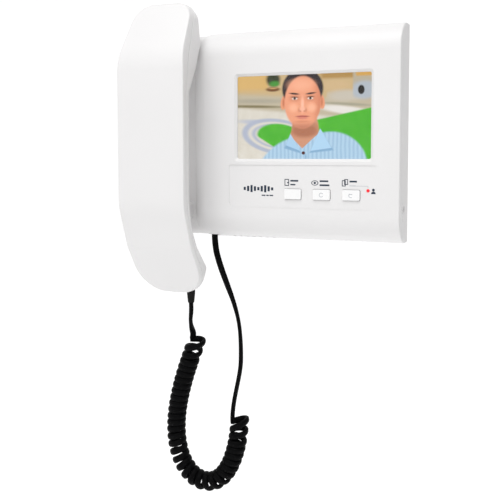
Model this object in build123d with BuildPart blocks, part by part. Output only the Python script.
from build123d import *
import os
from math import cos, pi, radians, sin, tan

# Video intercom monitor: a wall unit with a colour screen, three keys and a corded handset.
# Millimetres. The origin is the middle of the wall bracket's back face, on the wall.
# +X is to the viewer's right, -Y points out of the wall towards the viewer, and +Z is up.
os.makedirs("parts", exist_ok=True)

# ---------------------------------------------------------------- driving dimensions
BODY_W = 185.0
BODY_H = 145.0
WALL = 2.2
MONITOR_DEPTH = 24.0
MONITOR_ROUND = 18.0
MONITOR_LEFT = -58.5
MONITOR_LEFT_ROUND = 12.0
CRADLE_DEPTH = 18.0
CRADLE_ROUND = 12.0
CRADLE_H = 143.0
CRADLE_LEFT_ROUND = 8.0
PARTING_DEPTH = 6.0
CRISP = 1.0

SCREEN_X = 25.5
SCREEN_Z = 11.75
SCREEN_W = 95.0
SCREEN_H = 56.6
SCREEN_BEVEL = 1.8
BEVEL_DEPTH = 1.4

KEY_W = 12.0
KEY_H = 7.0
KEY_XS = (19.4, 39.8, 60.2)
KEY_Z = -40.45
KEY_PROUD = 1.2
KEY_GAP = 0.25
LED_X = 71.5
LED_Z = -37.25
LIGHT_PIPE_R = 1.1
FIELD_LEFT = -27.9
FIELD_RIGHT = 76.9
FIELD_TOP = -20.6
FIELD_BOTTOM = -50.3
FIELD_SINK = 0.5

TRIMMER_Y = -13.2
TRIMMER_Z = -49.3
TRIMMER_HOLE_R = 1.7
TRIMMER_RING_R = 3.2

BOARD_LEFT = -38.0
BOARD_RIGHT = 86.0
BOARD_HALF_H = 58.0
BOARD_FRONT = 10.6
BOARD_BACK = 9.0
BOARD_SCREWS = [(-33.0, 53.0), (81.0, 53.0), (-33.0, -53.0), (74.0, -54.0)]
HOUSING_SCREWS = [(-84.0, 64.0), (84.0, 64.0), (-84.0, -64.0), (84.0, -64.0)]

HOOK_BOARD_SCREWS = [(-78.0, 37.0), (-64.0, 37.0)]

BRACKET_W = 84.0
BRACKET_H = 120.0
BRACKET_T = 1.2
RECESS_DEPTH = 1.6
PAD_DEPTH = 3.8
BRACKET_HOLE_R = 2.2
TALL_BOX_PITCH = 83.5
ROUND_BOX_PITCH = 60.0
HOOK_X = 30.0
HOOK_ZS = (45.0, -48.0)
ENTRY_W = 44.0
ENTRY_LOW = 12.0
ENTRY_HIGH = 36.0

HANDSET_X = -71.0
HANDSET_HALF_W = 25.6
HANDSET_TOP = 91.25
HANDSET_BOTTOM = -113.5
HANDSET_WALL = 2.2
HANDSET_FRONT = 59.0
GRIP_BACK = 45.0
LIFT_ANGLE = 40.0

CORD_W = 4.0
COIL_R = 6.9
CORD_EXIT_X = -46.0
CORD_EXIT_Y = -9.5
GROMMET_X = -59.5
GROMMET_Y = -21.2


# ---------------------------------------------------------------- shared shapes
def ypos(depth):
    """Plane parallel to the wall at a depth in front of it, drawn in X and Z."""
    return Plane.XZ.offset(depth)


def export(part, label):
    """Name a finished piece and write it as a STEP file."""
    part.label = label
    export_step(part, f"parts/{label}.step")


def bullnose(left, right, depth, height, radius):
    """Bar along X with a flat back on the wall and its two front edges rounded."""
    with BuildPart() as bar:
        with BuildSketch(Plane.YZ.offset(left)) as side:
            with Locations((-depth / 2, 0)):
                Rectangle(depth, height)
            fillet(side.vertices().group_by(Axis.X)[0], radius)
        extrude(amount=right - left)
    return bar.part


def base_form(inset):
    """Outer form of the wall unit, drawn in by inset on every side but the back."""
    right = BODY_W / 2 - inset
    monitor = bullnose(
        MONITOR_LEFT + inset, right, MONITOR_DEPTH - inset, BODY_H - 2 * inset, MONITOR_ROUND - inset
    )
    cradle = bullnose(
        -BODY_W / 2 + inset,
        MONITOR_LEFT + MONITOR_LEFT_ROUND,
        CRADLE_DEPTH - inset,
        CRADLE_H - 2 * inset,
        CRADLE_ROUND - inset,
    )
    with BuildPart() as form:
        add(monitor)
        left_rim = form.faces().sort_by(Axis.X)[0].edges().filter_by_position(
            Axis.Y, -MONITOR_DEPTH, -0.01
        )
        fillet(left_rim, MONITOR_LEFT_ROUND - inset)
        if inset == 0:
            right_rim = form.faces().sort_by(Axis.X)[-1].edges().filter_by_position(
                Axis.Y, -MONITOR_DEPTH, -0.01
            )
            fillet(right_rim, CRISP)
    with BuildPart() as low:
        add(cradle)
        cradle_rim = low.faces().sort_by(Axis.X)[0].edges().filter_by_position(
            Axis.Y, -CRADLE_DEPTH, -0.01
        )
        fillet(cradle_rim, CRADLE_LEFT_ROUND - inset)
    with BuildPart() as whole:
        add(form.part)
        add(low.part)
    return whole.part


def screws(places, head_r, head_h, shank_r, shank_l, head_depth, slot=1.0):
    """Pan-head screws driven from the back: heads at head_depth, shanks towards the front."""
    with BuildPart() as group:
        with BuildSketch(ypos(head_depth - head_h)):
            with Locations(*places):
                Circle(head_r)
        extrude(amount=head_h)
        with BuildSketch(ypos(head_depth)):
            with Locations(*places):
                Circle(shank_r)
        extrude(amount=shank_l)
        with BuildSketch(ypos(head_depth - head_h)):
            with Locations(*places):
                Rectangle(head_r * 1.1, slot * 0.8)
                Rectangle(slot * 0.8, head_r * 1.1)
        extrude(amount=head_h * 0.5, mode=Mode.SUBTRACT)
    return group.part


outer_form = base_form(0)
inner_form = base_form(WALL)

# ---------------------------------------------------------------- wall bracket
with BuildPart() as wall_bracket:
    with BuildSketch(ypos(0)) as plate:
        RectangleRounded(BRACKET_W, BRACKET_H, 4)
        with Locations((0, (ENTRY_LOW + ENTRY_HIGH) / 2)):
            RectangleRounded(ENTRY_W, ENTRY_HIGH - ENTRY_LOW, 2, mode=Mode.SUBTRACT)
        with Locations((0, TALL_BOX_PITCH / 2), (0, -TALL_BOX_PITCH / 2)):
            Circle(BRACKET_HOLE_R, mode=Mode.SUBTRACT)
        with Locations((ROUND_BOX_PITCH / 2, 0), (-ROUND_BOX_PITCH / 2, 0)):
            Circle(BRACKET_HOLE_R, mode=Mode.SUBTRACT)
    extrude(amount=BRACKET_T)
    for hook_z in HOOK_ZS:
        for hook_x in (-HOOK_X, HOOK_X):
            with Locations((hook_x, -3.2, hook_z + 0.6)):
                Box(8, 4.0, 1.2)
            with Locations((hook_x, -4.6, hook_z + 2.5)):
                Box(8, 1.2, 5.0)
export(wall_bracket.part, "wall_bracket")

# ---------------------------------------------------------------- rear cover
with BuildPart() as tray_hollow:
    add(inner_form)
    with Locations((0, -WALL - 15, 0)):
        Box(2 * BODY_W, 30, 2 * BODY_H, mode=Mode.INTERSECT)

with BuildPart() as rear_cover:
    add(outer_form)
    with Locations((0, -15 - PARTING_DEPTH, 0)):
        Box(2 * BODY_W, 30, 2 * BODY_H, mode=Mode.SUBTRACT)
    add(tray_hollow.part, mode=Mode.SUBTRACT)
    with BuildSketch(ypos(WALL)):
        RectangleRounded(BRACKET_W + 6, BRACKET_H + 6, 5)
    extrude(amount=PAD_DEPTH - WALL)
    with BuildSketch(ypos(WALL)):
        with Locations(*HOUSING_SCREWS):
            Circle(4.0)
    extrude(amount=PARTING_DEPTH - WALL)
    with BuildSketch(ypos(0)):
        RectangleRounded(BRACKET_W + 0.6, BRACKET_H + 0.6, 4)
    extrude(amount=RECESS_DEPTH, mode=Mode.SUBTRACT)
    with BuildSketch(ypos(0)):
        with Locations((0, (ENTRY_LOW + ENTRY_HIGH) / 2)):
            RectangleRounded(ENTRY_W, ENTRY_HIGH - ENTRY_LOW, 2)
        for hook_z in HOOK_ZS:
            with Locations((HOOK_X, hook_z - 2.05), (-HOOK_X, hook_z - 2.05)):
                Rectangle(10, 6.9)
        with Locations(*HOUSING_SCREWS):
            Circle(1.7)
    extrude(amount=PARTING_DEPTH, mode=Mode.SUBTRACT)
    with BuildSketch(ypos(0)):
        with Locations(*HOUSING_SCREWS):
            Circle(3.1)
    extrude(amount=3.2, mode=Mode.SUBTRACT)
    # posts that carry the small hook-switch board
    with BuildSketch(ypos(WALL - 0.2)):
        with Locations(*HOOK_BOARD_SCREWS):
            Circle(2.6)
    extrude(amount=0.8)
    with BuildSketch(ypos(0.6)):
        with Locations(*HOOK_BOARD_SCREWS):
            Circle(1.0)
    extrude(amount=3.0, mode=Mode.SUBTRACT)
export(rear_cover.part, "rear_cover")

# ---------------------------------------------------------------- front cover
PEG_XS = (HANDSET_X - 14.0, HANDSET_X + 14.0)
PEG_START = (-16.4, 48.65)
PEG_LENGTH = 20.0
PEG_W = 8.0
PEG_T = 4.0
lift_dir = (0, -cos(radians(LIFT_ANGLE)), sin(radians(LIFT_ANGLE)))
PLUNGER_Z = 56.0
PLUNGER_R = 3.5
REST_LOW = -60.0
REST_HIGH = -48.0
REST_HALF_W = 12.0
REST_PAD_T = 1.3
REST_FRONT = GRIP_BACK - 0.4 - REST_PAD_T
SPEAKER_X = -14.0
SPEAKER_Z = -43.0
SPEAKER_R = 11.0
LCD_SCREWS = [(SCREEN_X + sx * 42.0, SCREEN_Z + sz * 38.2) for sx in (-1, 1) for sz in (-1, 1)]
INNER_FRONT = MONITOR_DEPTH - WALL

bevel_section = [
    (MONITOR_DEPTH, SCREEN_W + 2 * SCREEN_BEVEL, SCREEN_H + 2 * SCREEN_BEVEL, 2.6),
    (MONITOR_DEPTH - BEVEL_DEPTH, SCREEN_W, SCREEN_H, 1.2),
]
with BuildPart() as screen_bevel:
    for depth, width, height, corner in bevel_section:
        with BuildSketch(ypos(depth)):
            with Locations((SCREEN_X, SCREEN_Z)):
                RectangleRounded(width, height, corner)
    loft()

with BuildPart() as front_cover:
    add(outer_form)
    with Locations((0, 15 - PARTING_DEPTH, 0)):
        Box(2 * BODY_W, 30, 2 * BODY_H, mode=Mode.SUBTRACT)
    add(inner_form, mode=Mode.SUBTRACT)
    # posts: housing screws, main board and screen frame
    monitor_posts = [p for p in HOUSING_SCREWS if p[0] > 0]
    cradle_posts = [p for p in HOUSING_SCREWS if p[0] < 0]
    post_rows = [
        (monitor_posts, PARTING_DEPTH, 18.3, 3.4),
        (cradle_posts, PARTING_DEPTH, 14.4, 3.4),
        (BOARD_SCREWS, BOARD_FRONT, INNER_FRONT + 0.2, 2.6),
        (LCD_SCREWS, 17.0, INNER_FRONT + 0.2, 2.6),
    ]
    for places, start, end, radius in post_rows:
        with BuildSketch(ypos(start)):
            with Locations(*places):
                Circle(radius)
        extrude(amount=end - start)
    pilot_rows = [
        (monitor_posts, PARTING_DEPTH, 10.0, 1.5),
        (cradle_posts, PARTING_DEPTH, 7.6, 1.5),
        (BOARD_SCREWS, BOARD_FRONT, 7.0, 1.2),
        (LCD_SCREWS, 17.0, 4.4, 1.2),
    ]
    for places, start, length, radius in pilot_rows:
        with BuildSketch(ypos(start)):
            with Locations(*places):
                Circle(radius)
        extrude(amount=length, mode=Mode.SUBTRACT)
    # ring that locates the ringer
    with BuildSketch(ypos(INNER_FRONT - 2.6)):
        with Locations((SPEAKER_X, SPEAKER_Z)):
            Circle(SPEAKER_R + 1.6)
            Circle(SPEAKER_R + 0.4, mode=Mode.SUBTRACT)
    extrude(amount=2.8)
    # window with its bevelled rim, the sunk key field, key holes and light-pipe hole
    add(screen_bevel.part, mode=Mode.SUBTRACT)
    with BuildSketch(ypos(INNER_FRONT - 1)):
        with Locations((SCREEN_X, SCREEN_Z)):
            RectangleRounded(SCREEN_W, SCREEN_H, 1.2)
    extrude(amount=3, mode=Mode.SUBTRACT)
    with BuildSketch(ypos(MONITOR_DEPTH - FIELD_SINK)) as field:
        with Locations(((FIELD_LEFT + FIELD_RIGHT) / 2, (FIELD_TOP + FIELD_BOTTOM) / 2)):
            Rectangle(FIELD_RIGHT - FIELD_LEFT, FIELD_TOP - FIELD_BOTTOM)
        fillet(field.vertices().group_by(Axis.Y)[0], 4.5)
        fillet(field.vertices().group_by(Axis.Y)[-1], 1.5)
    extrude(amount=2, mode=Mode.SUBTRACT)
    with BuildSketch(ypos(INNER_FRONT - 1)):
        with Locations(*[(x, KEY_Z) for x in KEY_XS]):
            RectangleRounded(KEY_W + 2 * KEY_GAP, KEY_H + 2 * KEY_GAP, 1.1)
        with Locations((LED_X, LED_Z)):
            Circle(LIGHT_PIPE_R + 0.05)
    extrude(amount=4, mode=Mode.SUBTRACT)
    # volume trimmer: a screwdriver hole in the right-hand end, inside a raised ring
    with BuildSketch(Plane.YZ.offset(BODY_W / 2 - 0.4)):
        with Locations((TRIMMER_Y, TRIMMER_Z)):
            Circle(TRIMMER_RING_R)
            Circle(TRIMMER_RING_R - 0.8, mode=Mode.SUBTRACT)
        with Locations((TRIMMER_Y, TRIMMER_Z - 7.0)):
            Triangle(a=3.6, b=3.0, c=3.0, rotation=0)
    extrude(amount=0.8)
    with BuildSketch(Plane.YZ.offset(BODY_W / 2 - WALL - 1)):
        with Locations((TRIMMER_Y, TRIMMER_Z)):
            Circle(TRIMMER_HOLE_R)
    extrude(amount=5, mode=Mode.SUBTRACT)
    # sound slots for the ringer in the underside
    with Locations(*[(SPEAKER_X + 5.0 * (i - 3), -9.2, -BODY_H / 2 + 2) for i in range(7)]):
        Box(2.0, 6.0, 8.0, mode=Mode.SUBTRACT)
    # cord outlet in the underside
    with Locations((CORD_EXIT_X, CORD_EXIT_Y, -BODY_H / 2 + 1)):
        Box(9, 6.8, 9, mode=Mode.SUBTRACT)
    # cradle: two inclined pegs, the lower rest and the hole for the hook plunger
    for peg_x in PEG_XS:
        with BuildSketch(Plane((peg_x, *PEG_START), x_dir=(1, 0, 0), z_dir=lift_dir)):
            RectangleRounded(PEG_W, PEG_T, 1.0)
        extrude(amount=PEG_LENGTH)
    with BuildSketch(ypos(CRADLE_DEPTH - 1.0)):
        with Locations((HANDSET_X, (REST_LOW + REST_HIGH) / 2)):
            RectangleRounded(2 * REST_HALF_W, REST_HIGH - REST_LOW, 3)
    extrude(amount=REST_FRONT - CRADLE_DEPTH + 1.0)
    with BuildSketch(ypos(CRADLE_DEPTH - WALL - 1)):
        with Locations((HANDSET_X, (REST_LOW + REST_HIGH) / 2)):
            RectangleRounded(2 * REST_HALF_W - 4, REST_HIGH - REST_LOW - 4, 1.5)
    extrude(amount=REST_FRONT - CRADLE_DEPTH + 1.0, mode=Mode.SUBTRACT)
    with BuildSketch(ypos(CRADLE_DEPTH - WALL - 1)):
        with Locations((HANDSET_X, PLUNGER_Z)):
            Circle(PLUNGER_R + 0.2)
    extrude(amount=6, mode=Mode.SUBTRACT)
export(front_cover.part, "front_cover")

with BuildPart() as rest_pad:
    with BuildSketch(ypos(REST_FRONT)):
        with Locations((HANDSET_X, (REST_LOW + REST_HIGH) / 2)):
            RectangleRounded(2 * REST_HALF_W, REST_HIGH - REST_LOW, 3)
    extrude(amount=REST_PAD_T)
    fillet(rest_pad.faces().sort_by(Axis.Y)[0].edges(), 0.6)
export(rest_pad.part, "rest_pad")
export(screws(HOUSING_SCREWS, 2.8, 2.0, 1.4, 9.0, 3.2), "housing_screws")

# ---------------------------------------------------------------- screen stack
LENS_T = 1.2
LCD_FRONT = INNER_FRONT - LENS_T - 0.2
LCD_T = 1.6
BACKLIGHT_T = 2.6
LCD_W = 100.0
LCD_H = 61.0


def screen_slab(front, thickness, width, height, corner):
    """Flat rounded slab of the screen stack, its front face at a depth from the wall."""
    with BuildPart() as slab:
        with BuildSketch(ypos(front - thickness)):
            with Locations((SCREEN_X, SCREEN_Z)):
                RectangleRounded(width, height, corner)
        extrude(amount=thickness)
    return slab.part


export(screen_slab(INNER_FRONT, LENS_T, SCREEN_W + 6, SCREEN_H + 6, 1.5), "screen_lens")
export(screen_slab(LCD_FRONT, LCD_T, LCD_W, LCD_H, 0.4), "lcd_panel")
export(
    screen_slab(LCD_FRONT - LCD_T, BACKLIGHT_T, LCD_W + 2, LCD_H + 2, 0.6), "lcd_backlight"
)

FRAME_BACK = 15.0
FRAME_LIP = LCD_FRONT - LCD_T - BACKLIGHT_T
with BuildPart() as lcd_frame:
    with BuildSketch(ypos(FRAME_BACK)):
        with Locations((SCREEN_X, SCREEN_Z)):
            RectangleRounded(LCD_W + 5.6, LCD_H + 5.6, 1.5)
    extrude(amount=LCD_FRONT - FRAME_BACK)
    with BuildSketch(ypos(FRAME_LIP)):
        with Locations((SCREEN_X, SCREEN_Z)):
            RectangleRounded(LCD_W + 2.6, LCD_H + 2.6, 0.8)
    extrude(amount=8, mode=Mode.SUBTRACT)
    with BuildSketch(ypos(FRAME_BACK)):
        with Locations((SCREEN_X, SCREEN_Z)):
            Rectangle(LCD_W - 8, LCD_H - 8)
    extrude(amount=8, mode=Mode.SUBTRACT)
    with BuildSketch(ypos(FRAME_BACK)):
        with Locations(*LCD_SCREWS):
            RectangleRounded(8, 10.4, 2)
        with Locations((SCREEN_X, SCREEN_Z)):
            Rectangle(LCD_W + 2, LCD_H + 2, mode=Mode.SUBTRACT)
    extrude(amount=1.9)
    with BuildSketch(ypos(FRAME_BACK)):
        with Locations(*LCD_SCREWS):
            Circle(1.4)
    extrude(amount=3, mode=Mode.SUBTRACT)
export(lcd_frame.part, "lcd_frame")
export(screws(LCD_SCREWS, 2.2, 1.4, 1.1, 5.0, FRAME_BACK), "lcd_frame_screws")

# ---------------------------------------------------------------- main board and its parts
with BuildPart() as main_board:
    with BuildSketch(ypos(BOARD_BACK)):
        with Locations(((BOARD_LEFT + BOARD_RIGHT) / 2, 0)):
            RectangleRounded(BOARD_RIGHT - BOARD_LEFT, 2 * BOARD_HALF_H, 2)
        with Locations(*BOARD_SCREWS):
            Circle(1.5, mode=Mode.SUBTRACT)
    extrude(amount=BOARD_FRONT - BOARD_BACK)
export(main_board.part, "main_board")
export(screws(BOARD_SCREWS, 2.4, 1.6, 1.1, 7.0, BOARD_BACK), "board_screws")


def on_board_front(boxes):
    """Boxes (x, z, width, height, thickness) standing on the front of the main board."""
    with BuildPart() as group:
        for x, z, width, height, thickness in boxes:
            with Locations((x, -BOARD_FRONT - thickness / 2, z)):
                Box(width, thickness, height)
    return group.part


chips = [
    (10.0, 10.0, 14.0, 14.0, 1.4),
    (40.0, 18.0, 10.0, 10.0, 1.2),
    (60.0, 6.0, 7.0, 5.0, 1.5),
    (62.0, 28.0, 9.0, 9.0, 3.4),
    (-10.0, 30.0, 8.0, 6.0, 1.5),
    (-18.0, 5.0, 10.0, 12.0, 3.6),
]
export(on_board_front(chips), "board_chips")

CAPACITOR_X = -33.0
CAPACITOR_ZS = (-24.0, -14.0, -4.0, 6.0)
with BuildPart() as board_capacitors:
    with BuildSketch(ypos(BOARD_FRONT)):
        with Locations(*[(CAPACITOR_X, z) for z in CAPACITOR_ZS]):
            Circle(3.2)
    extrude(amount=9.5)
export(board_capacitors.part, "board_capacitors")

CONNECTOR_Z = -29.0
with BuildPart() as ribbon_connector:
    with Locations((SCREEN_X, -BOARD_FRONT - 1.3, CONNECTOR_Z)):
        Box(28, 2.6, 4)
export(ribbon_connector.part, "ribbon_connector")

RIBBON_T = 0.3
RIBBON_W = 24.0
RIBBON_BACK = 12.2
RIBBON_DROP = -13.0
with BuildPart() as ribbon_cable:
    with BuildSketch(Plane.YZ.offset(SCREEN_X - RIBBON_W / 2)):
        with BuildLine():
            Polyline(
                (-FRAME_LIP, RIBBON_DROP + 8),
                (-FRAME_LIP, RIBBON_DROP),
                (-RIBBON_BACK - RIBBON_T, RIBBON_DROP - 3),
                (-RIBBON_BACK - RIBBON_T, CONNECTOR_Z + 2),
                (-RIBBON_BACK, CONNECTOR_Z + 2),
                (-RIBBON_BACK, RIBBON_DROP - 3 + 0.2),
                (-FRAME_LIP + RIBBON_T, RIBBON_DROP + 0.2),
                (-FRAME_LIP + RIBBON_T, RIBBON_DROP + 8),
                close=True,
            )
        make_face()
    extrude(amount=RIBBON_W)
export(ribbon_cable.part, "ribbon_cable")

# ---------------------------------------------------------------- keys and their switches
SWITCH_H = 3.5
KEY_TRAVEL = 0.8
STEM_END = BOARD_FRONT + SWITCH_H + 0.6 + KEY_TRAVEL + 0.3
KEY_NAMES = ("door_release_key", "view_key", "page_key")
FLANGE_FRONT = INNER_FRONT - 0.4

for key_x, key_name in zip(KEY_XS, KEY_NAMES):
    with BuildPart() as key:
        with BuildSketch(ypos(FLANGE_FRONT - 1.0)):
            with Locations((key_x, KEY_Z)):
                RectangleRounded(KEY_W, KEY_H, 0.9)
        extrude(amount=MONITOR_DEPTH - FIELD_SINK + KEY_PROUD - FLANGE_FRONT + 1.0)
        fillet(key.faces().sort_by(Axis.Y)[0].edges(), 0.45)
        with BuildSketch(ypos(FLANGE_FRONT - 1.0)):
            with Locations((key_x, KEY_Z)):
                RectangleRounded(KEY_W + 2.6, KEY_H + 2.6, 1.6)
        extrude(amount=1.0)
        with BuildSketch(ypos(STEM_END)):
            with Locations((key_x, KEY_Z)):
                Rectangle(3.6, 3.6)
        extrude(amount=FLANGE_FRONT - 1.0 - STEM_END)
    export(key.part, key_name)

with BuildPart() as tact_switches:
    for key_x in KEY_XS:
        with Locations((key_x, -BOARD_FRONT - SWITCH_H / 2, KEY_Z)):
            Box(6, SWITCH_H, 6)
        with BuildSketch(ypos(BOARD_FRONT + SWITCH_H)):
            with Locations((key_x, KEY_Z)):
                Circle(1.7)
        extrude(amount=0.6)
export(tact_switches.part, "tact_switches")

# ---------------------------------------------------------------- status light
with BuildPart() as status_led:
    with BuildSketch(ypos(BOARD_FRONT)):
        with Locations((LED_X, LED_Z)):
            Circle(1.9)
    extrude(amount=1.0)
    with BuildSketch(ypos(BOARD_FRONT + 1.0)):
        with Locations((LED_X, LED_Z)):
            Circle(1.5)
    extrude(amount=2.4)
export(status_led.part, "status_led")

with BuildPart() as led_light_pipe:
    with BuildSketch(ypos(BOARD_FRONT + 3.6)):
        with Locations((LED_X, LED_Z)):
            Circle(2.0)
    extrude(amount=INNER_FRONT - BOARD_FRONT - 3.6)
    with BuildSketch(ypos(INNER_FRONT)):
        with Locations((LED_X, LED_Z)):
            Circle(LIGHT_PIPE_R)
    extrude(amount=MONITOR_DEPTH - FIELD_SINK + 0.3 - INNER_FRONT)
    fillet(led_light_pipe.faces().sort_by(Axis.Y)[0].edges(), 0.4)
export(led_light_pipe.part, "led_light_pipe")

# ---------------------------------------------------------------- volume trimmer
TRIMMER_FACE = 84.6
with BuildPart() as volume_trimmer:
    with Locations((81.4, -BOARD_FRONT - 2.9, TRIMMER_Z)):
        Box(6.4, 5.8, 7.0)
    with BuildSketch(Plane.YZ.offset(81.4)):
        with Locations((TRIMMER_Y, TRIMMER_Z)):
            Circle(1.5)
    extrude(amount=10, mode=Mode.SUBTRACT)
    with BuildSketch(Plane.YZ.offset(TRIMMER_FACE - 0.6)):
        with Locations((TRIMMER_Y, TRIMMER_Z)):
            Circle(2.1)
    extrude(amount=10, mode=Mode.SUBTRACT)
export(volume_trimmer.part, "volume_trimmer")

with BuildPart() as trimmer_rotor:
    with BuildSketch(Plane.YZ.offset(81.6)):
        with Locations((TRIMMER_Y, TRIMMER_Z)):
            Circle(1.45)
    extrude(amount=3.0)
    with BuildSketch(Plane.YZ.offset(TRIMMER_FACE - 0.4)):
        with Locations((TRIMMER_Y, TRIMMER_Z)):
            Circle(1.95)
    extrude(amount=4.6)
    with Locations((TRIMMER_FACE + 4.2, TRIMMER_Y, TRIMMER_Z)):
        Box(1.4, 0.7, 4.4, mode=Mode.SUBTRACT)
export(trimmer_rotor.part, "trimmer_rotor")

# ---------------------------------------------------------------- ringer
GASKET_T = 0.8
with BuildPart() as ringer_gasket:
    with BuildSketch(ypos(INNER_FRONT - GASKET_T)):
        with Locations((SPEAKER_X, SPEAKER_Z)):
            Circle(SPEAKER_R)
            Circle(SPEAKER_R - 2.5, mode=Mode.SUBTRACT)
    extrude(amount=GASKET_T)
export(ringer_gasket.part, "ringer_gasket")

with BuildPart() as ringer:
    with BuildSketch(ypos(INNER_FRONT - GASKET_T - 2.6)):
        with Locations((SPEAKER_X, SPEAKER_Z)):
            Circle(SPEAKER_R)
    extrude(amount=2.6)
    with BuildSketch(ypos(INNER_FRONT - GASKET_T - 6.4)):
        with Locations((SPEAKER_X, SPEAKER_Z)):
            Circle(6.5)
    extrude(amount=3.8)
    with BuildSketch(ypos(INNER_FRONT - GASKET_T - 0.9)):
        with Locations((SPEAKER_X, SPEAKER_Z)):
            Circle(SPEAKER_R - 3.0)
    extrude(amount=3, mode=Mode.SUBTRACT)
export(ringer.part, "ringer")

# ---------------------------------------------------------------- wiring terminals
TERMINAL_Z = 17.0
TERMINAL_XS = [5.08 * (i - 2) for i in range(5)]
TERMINAL_H = 6.6
with BuildPart() as terminal_block:
    with Locations((0, -BOARD_BACK + TERMINAL_H / 2, TERMINAL_Z)):
        Box(27.0, TERMINAL_H, 8.0)
    with BuildSketch(ypos(BOARD_BACK - TERMINAL_H)):
        with Locations(*[(x, TERMINAL_Z) for x in TERMINAL_XS]):
            Circle(1.7)
    extrude(amount=3.4, mode=Mode.SUBTRACT)
    with Locations(*[(x, -BOARD_BACK + 2.0, TERMINAL_Z + 3.0) for x in TERMINAL_XS]):
        Box(2.8, 2.4, 3.0, mode=Mode.SUBTRACT)
export(terminal_block.part, "terminal_block")

with BuildPart() as terminal_screws:
    with BuildSketch(ypos(BOARD_BACK - TERMINAL_H + 1.2)):
        with Locations(*[(x, TERMINAL_Z) for x in TERMINAL_XS]):
            Circle(1.6)
    extrude(amount=2.2)
    with BuildSketch(ypos(BOARD_BACK - TERMINAL_H + 1.2)):
        with Locations(*[(x, TERMINAL_Z) for x in TERMINAL_XS]):
            Rectangle(2.8, 0.6)
    extrude(amount=0.8, mode=Mode.SUBTRACT)
export(terminal_screws.part, "terminal_screws")

# ---------------------------------------------------------------- hook switch
HOOK_BOARD_BACK = 2.8
HOOK_BOARD_FRONT = 4.4
with BuildPart() as hook_board:
    with BuildSketch(ypos(HOOK_BOARD_BACK)):
        with Locations((HANDSET_X, 46.25)):
            RectangleRounded(20, 26.5, 1)
        with Locations(*HOOK_BOARD_SCREWS):
            Circle(1.3, mode=Mode.SUBTRACT)
    extrude(amount=HOOK_BOARD_FRONT - HOOK_BOARD_BACK)
export(hook_board.part, "hook_board")
with BuildPart() as hook_board_screws:
    with BuildSketch(ypos(HOOK_BOARD_FRONT)):
        with Locations(*HOOK_BOARD_SCREWS):
            Circle(2.0)
    extrude(amount=1.2)
    with BuildSketch(ypos(0.8)):
        with Locations(*HOOK_BOARD_SCREWS):
            Circle(0.95)
    extrude(amount=HOOK_BOARD_FRONT - 0.8)
export(hook_board_screws.part, "hook_board_screws")

SWITCH_BUTTON_FRONT = 9.6
with BuildPart() as hook_microswitch:
    with Locations((HANDSET_X, -HOOK_BOARD_FRONT - 2.3, PLUNGER_Z)):
        Box(12.8, 4.6, 5.8)
    with BuildSketch(ypos(HOOK_BOARD_FRONT + 4.6)):
        with Locations((HANDSET_X, PLUNGER_Z)):
            Circle(1.0)
    extrude(amount=SWITCH_BUTTON_FRONT - HOOK_BOARD_FRONT - 4.6)
export(hook_microswitch.part, "hook_microswitch")

PLUNGER_BALL = 22.5
with BuildPart() as hook_plunger:
    with BuildSketch(ypos(SWITCH_BUTTON_FRONT + 0.3)):
        with Locations((HANDSET_X, PLUNGER_Z)):
            Circle(PLUNGER_R + 1.3)
    extrude(amount=1.2)
    with BuildSketch(ypos(SWITCH_BUTTON_FRONT + 1.5)):
        with Locations((HANDSET_X, PLUNGER_Z)):
            Circle(PLUNGER_R)
    extrude(amount=PLUNGER_BALL - SWITCH_BUTTON_FRONT - 1.5)
    with Locations((HANDSET_X, -PLUNGER_BALL, PLUNGER_Z)):
        Sphere(PLUNGER_R)
export(hook_plunger.part, "hook_plunger")

# ---------------------------------------------------------------- handset shells
EAR_BOTTOM = 26.0
MOUTH_TOP = -65.0
# side profile as (y, z, corner radius), anticlockwise from the lower front bend
HANDSET_PROFILE = [
    (-HANDSET_FRONT, -50.0, 40.0),
    (-48.0, -79.0, 26.0),
    (-25.0, HANDSET_BOTTOM, 3.0),
    (-17.5, HANDSET_BOTTOM, 4.0),
    (-17.5, -94.0, 3.0),
    (-GRIP_BACK, MOUTH_TOP, 9.0),
    (-GRIP_BACK, EAR_BOTTOM, 18.0),
    (-22.8, 63.0, 4.0),
    (-22.8, 82.0, 8.0),
    (-27.0, HANDSET_TOP, 5.0),
    (-36.5, HANDSET_TOP, 6.0),
    (-HANDSET_FRONT, 53.0, 34.0),
]
# half outline as (offset from the middle, z, corner radius)
HANDSET_OUTLINE = [
    (HANDSET_HALF_W, HANDSET_BOTTOM, 20.5),
    (HANDSET_HALF_W, 45.0, 60.0),
    (21.6, HANDSET_TOP, 14.0),
]


def drawn_in(corners, inset):
    """Corners (a, b, radius) of an anticlockwise outline after each side moves in by inset."""
    moved = []
    for i, (a, b, radius) in enumerate(corners):
        here = Vector(a, b)
        arrive = (here - Vector(*corners[i - 1][:2])).normalized()
        leave = (Vector(*corners[(i + 1) % len(corners)][:2]) - here).normalized()
        turn = arrive.X * leave.Y - arrive.Y * leave.X
        bisector = Vector(-arrive.Y - leave.Y, arrive.X + leave.X).normalized()
        reach = inset / (bisector.Y * arrive.X - bisector.X * arrive.Y)
        corner = here + bisector * reach
        moved.append((corner.X, corner.Y, radius - inset if turn > 0 else radius + inset))
    return moved


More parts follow.
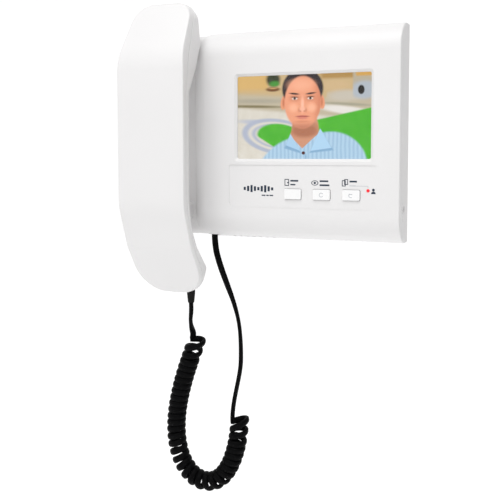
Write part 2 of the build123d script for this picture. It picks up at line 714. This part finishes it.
def handset_form(inset):
    """Handset body: its side profile cut by its front outline, both drawn in by inset."""
    mirrored = [(-x, z, radius) for x, z, radius in reversed(HANDSET_OUTLINE)]
    side_corners = drawn_in(HANDSET_PROFILE, inset)
    front_corners = [
        (x + HANDSET_X, z, radius) for x, z, radius in drawn_in(HANDSET_OUTLINE + mirrored, inset)
    ]
    with BuildPart() as form:
        with BuildSketch(Plane.YZ.offset(HANDSET_X - HANDSET_HALF_W - 5)) as side:
            Polygon(*[(y, z) for y, z, _ in side_corners], align=None)
            for y, z, radius in side_corners:
                fillet(side.vertices().sort_by_distance((y, z, 0))[0], radius)
        extrude(amount=2 * HANDSET_HALF_W + 10)
        with BuildSketch(Plane.XZ) as front:
            Polygon(*[(x, z) for x, z, _ in front_corners], align=None)
            for x, z, radius in front_corners:
                fillet(front.vertices().sort_by_distance((x, z, 0))[0], radius)
        extrude(amount=HANDSET_FRONT + 20, mode=Mode.INTERSECT)
    return form.part


def face_plane(top, low, share, depth):
    """Plane on a slanted inner face of the handset, its normal pointing into the shell."""
    run = Vector(low[0] - top[0], low[1] - top[1])
    inward = Vector(0, run.Y, -run.X).normalized()
    middle = Vector(HANDSET_X, top[0] + run.X * share, top[1] + run.Y * share)
    return Plane(middle + inward * depth, x_dir=(1, 0, 0), z_dir=inward)


# rear corners of the two slanted faces: the ear face and the mouth face
EAR_FACE = ((-22.8, 63.0), (-GRIP_BACK, EAR_BOTTOM))
MOUTH_FACE = ((-GRIP_BACK, MOUTH_TOP), (-17.5, -94.0))
EAR_SHARE = 0.54
MOUTH_SHARE = 0.58
# the two shells part along the front profile drawn in by this much, run on past both ends
SPLIT = 4.5
split_corners = [Vector(y, z) for y, z, _ in drawn_in(HANDSET_PROFILE, SPLIT)]
bend_low, foot, top, bend_high = [split_corners[i] for i in (1, 2, 10, 11)]
beyond_foot = foot + (foot - bend_low).normalized() * 12
beyond_top = top + (top - bend_high).normalized() * 12
PARTING_LINE = [
    (-90.0, -160.0),
    (beyond_foot.X, beyond_foot.Y),
    (bend_low.X, bend_low.Y),
    (split_corners[0].X, split_corners[0].Y),
    (bend_high.X, bend_high.Y),
    (beyond_top.X, beyond_top.Y),
    (-90.0, 140.0),
]
HANDSET_SCREWS = [(HANDSET_X, 18.0), (HANDSET_X, -44.0)]
SCREW_SEAT = GRIP_BACK + 1.2

with BuildPart() as front_zone:
    with BuildSketch(Plane.YZ.offset(HANDSET_X - 40)):
        Polygon(*PARTING_LINE, align=None)
    extrude(amount=80)

handset_outer = handset_form(0)
handset_inner = handset_form(HANDSET_WALL)

with BuildPart() as handset_front_shell:
    add(handset_outer)
    add(handset_inner, mode=Mode.SUBTRACT)
    add(front_zone.part, mode=Mode.INTERSECT)
    with BuildSketch(ypos(GRIP_BACK + HANDSET_WALL + 0.2)):
        with Locations(*HANDSET_SCREWS):
            Circle(3.2)
    extrude(amount=HANDSET_FRONT - GRIP_BACK - 2 * HANDSET_WALL)
    with BuildSketch(ypos(GRIP_BACK + HANDSET_WALL)):
        with Locations(*HANDSET_SCREWS):
            Circle(1.2)
    extrude(amount=8.0, mode=Mode.SUBTRACT)
    # outlet for the cord's grommet
    with Locations((GROMMET_X, GROMMET_Y, HANDSET_BOTTOM)):
        Cylinder(3.1, 12, mode=Mode.SUBTRACT)
export(handset_front_shell.part, "handset_front_shell")

with BuildPart() as handset_rear_shell:
    add(handset_outer)
    add(handset_inner, mode=Mode.SUBTRACT)
    add(front_zone.part, mode=Mode.SUBTRACT)
    with BuildSketch(ypos(GRIP_BACK - 1)):
        with Locations(*HANDSET_SCREWS):
            Circle(1.5)
    extrude(amount=4, mode=Mode.SUBTRACT)
    with BuildSketch(ypos(GRIP_BACK - 1)):
        with Locations(*HANDSET_SCREWS):
            Circle(2.7)
    extrude(amount=SCREW_SEAT - GRIP_BACK + 1, mode=Mode.SUBTRACT)
    # sound holes: a centre hole and a ring of six for the ear, three for the mouth
    with BuildSketch(face_plane(*EAR_FACE, EAR_SHARE, -1)):
        Circle(0.9)
        with PolarLocations(5.0, 6):
            Circle(0.9)
    extrude(amount=HANDSET_WALL + 2, mode=Mode.SUBTRACT)
    with BuildSketch(face_plane(*MOUTH_FACE, MOUTH_SHARE, -1)):
        with GridLocations(4.0, 4.0, 3, 1):
            Circle(0.8)
    extrude(amount=HANDSET_WALL + 2, mode=Mode.SUBTRACT)
    # two sockets that slide over the cradle's pegs
    for peg_x in PEG_XS:
        with BuildSketch(Plane((peg_x, *PEG_START), x_dir=(1, 0, 0), z_dir=lift_dir)):
            RectangleRounded(PEG_W + 1.0, PEG_T + 1.0, 1.2)
        extrude(amount=PEG_LENGTH, mode=Mode.SUBTRACT)
    with Locations((GROMMET_X, GROMMET_Y, HANDSET_BOTTOM)):
        Cylinder(3.1, 12, mode=Mode.SUBTRACT)
export(handset_rear_shell.part, "handset_rear_shell")
export(screws(HANDSET_SCREWS, 2.4, 1.0, 1.1, 7.0, SCREW_SEAT), "handset_screws")

# ---------------------------------------------------------------- handset insides
EARPIECE_R = 13.0
with BuildPart() as earpiece_gasket:
    with BuildSketch(face_plane(*EAR_FACE, EAR_SHARE, HANDSET_WALL)):
        Circle(EARPIECE_R)
        Circle(EARPIECE_R - 4, mode=Mode.SUBTRACT)
    extrude(amount=0.8)
export(earpiece_gasket.part, "earpiece_gasket")

with BuildPart() as earpiece:
    with BuildSketch(face_plane(*EAR_FACE, EAR_SHARE, HANDSET_WALL + 0.8)):
        Circle(EARPIECE_R)
    extrude(amount=2.2)
    with BuildSketch(face_plane(*EAR_FACE, EAR_SHARE, HANDSET_WALL + 3.0)):
        Circle(8.0)
    extrude(amount=3.0)
export(earpiece.part, "earpiece")

with BuildPart() as microphone_boot:
    with BuildSketch(face_plane(*MOUTH_FACE, MOUTH_SHARE, HANDSET_WALL)):
        Circle(5.6)
        Circle(4.0, mode=Mode.SUBTRACT)
    extrude(amount=1.0)
    with BuildSketch(face_plane(*MOUTH_FACE, MOUTH_SHARE, HANDSET_WALL + 1.0)):
        Circle(5.6)
        Circle(4.9, mode=Mode.SUBTRACT)
    extrude(amount=3.2)
export(microphone_boot.part, "microphone_boot")

with BuildPart() as microphone:
    with BuildSketch(face_plane(*MOUTH_FACE, MOUTH_SHARE, HANDSET_WALL + 1.0)):
        Circle(4.85)
    extrude(amount=3.6)
export(microphone.part, "microphone")

with BuildPart() as handset_weight:
    with BuildSketch(ypos(GRIP_BACK + 5.2)):
        with Locations((HANDSET_X, -14.0)):
            RectangleRounded(26, 50, 2)
    extrude(amount=6.0)
export(handset_weight.part, "handset_weight")

GROMMET_TOP = HANDSET_BOTTOM + 5.0
GROMMET_END = HANDSET_BOTTOM - 7.0
with BuildPart() as handset_grommet:
    with BuildSketch(Plane((GROMMET_X, GROMMET_Y, GROMMET_TOP), z_dir=(0, 0, -1))):
        Circle(3.0)
    extrude(amount=GROMMET_TOP - HANDSET_BOTTOM)
    with BuildSketch(Plane((GROMMET_X, GROMMET_Y, HANDSET_BOTTOM), z_dir=(0, 0, -1))):
        Circle(3.0)
    with BuildSketch(Plane((GROMMET_X, GROMMET_Y, GROMMET_END), z_dir=(0, 0, -1))):
        Circle(2.3)
    loft()
export(handset_grommet.part, "handset_grommet")

# ---------------------------------------------------------------- cord socket, plug and cord
JACK_TOP = -53.5
JACK_MOUTH = -66.3
PLUG_MOUTH = -67.5
with BuildPart() as cord_jack:
    with Locations((CORD_EXIT_X, CORD_EXIT_Y + 0.2, (JACK_TOP + JACK_MOUTH) / 2)):
        Box(11.5, 9.8, JACK_TOP - JACK_MOUTH)
    with Locations((CORD_EXIT_X, CORD_EXIT_Y, JACK_MOUTH + 5.75)):
        Box(8.2, 7.2, 11.5, mode=Mode.SUBTRACT)
export(cord_jack.part, "cord_jack")

with BuildPart() as cord_plug:
    with Locations((CORD_EXIT_X, CORD_EXIT_Y, PLUG_MOUTH + 5.5)):
        Box(7.7, 6.7, 11.0)
export(cord_plug.part, "cord_plug")

BASE_LEAD = [
    (CORD_EXIT_X, CORD_EXIT_Y, PLUG_MOUTH),
    (CORD_EXIT_X, CORD_EXIT_Y, -79.5),
    (-42.0, -9.7, -93.0),
    (-36.2, -9.9, -107.0),
    (-30.2, -10.1, -121.0),
    (-26.2, -10.3, -135.0),
    (-24.8, -10.5, -149.5),
    (-24.7, -10.7, -164.5),
    (-25.2, -10.9, -179.5),
    (-25.6, -11.0, -200.0),
]
COIL_AXIS = [
    (-25.6, -11.0, -200.0),
    (-25.9, -11.1, -213.5),
    (-28.2, -11.9, -228.0),
    (-33.0, -12.7, -241.8),
    (-41.0, -13.4, -252.0),
    (-51.5, -14.2, -255.4),
    (-62.3, -15.0, -251.6),
    (-70.4, -15.8, -241.2),
    (-74.2, -16.6, -227.0),
    (-74.4, -17.4, -211.3),
    (-71.8, -18.1, -195.0),
    (-67.2, -18.9, -178.5),
    (-61.3, -19.7, -162.5),
    (-55.6, -20.3, -148.5),
]
HANDSET_LEAD = [
    (-55.6, -20.3, -148.5),
    (-55.7, -20.6, -139.0),
    (GROMMET_X, GROMMET_Y, -130.0),
    (GROMMET_X, GROMMET_Y, GROMMET_END),
]


def corner_radii(points):
    """Largest fair arc at each inner corner: 0.45 of the shorter run, by the tangent of half the turn."""
    radii = []
    for i in range(1, len(points) - 1):
        arrive = Vector(*points[i]) - Vector(*points[i - 1])
        leave = Vector(*points[i + 1]) - Vector(*points[i])
        half_turn = radians(arrive.get_angle(leave)) / 2
        radii.append(0.45 * min(arrive.length, leave.length) / tan(half_turn))
    return radii


def tube(points, radius, label):
    """Round tube along straight runs joined by arcs, written as its own piece."""
    radii = corner_radii(points)
    with BuildPart() as run:
        with BuildLine():
            route = FilletPolyline(*points, radius=radii)
        with BuildSketch(Plane(points[0], z_dir=route.tangent_at(0))):
            Circle(radius)
        sweep(path=route)
    expected = pi * radius**2 * route.length
    print(label, "length", round(route.length, 1), "volume ratio", round(run.part.volume / expected, 4))
    print("   radii", [round(r, 1) for r in radii])
    export(run.part, label)


tube(BASE_LEAD, CORD_W / 2, "cord_base_lead")
tube(COIL_AXIS, COIL_R, "cord_coil")
tube(HANDSET_LEAD, CORD_W / 2, "cord_handset_lead")
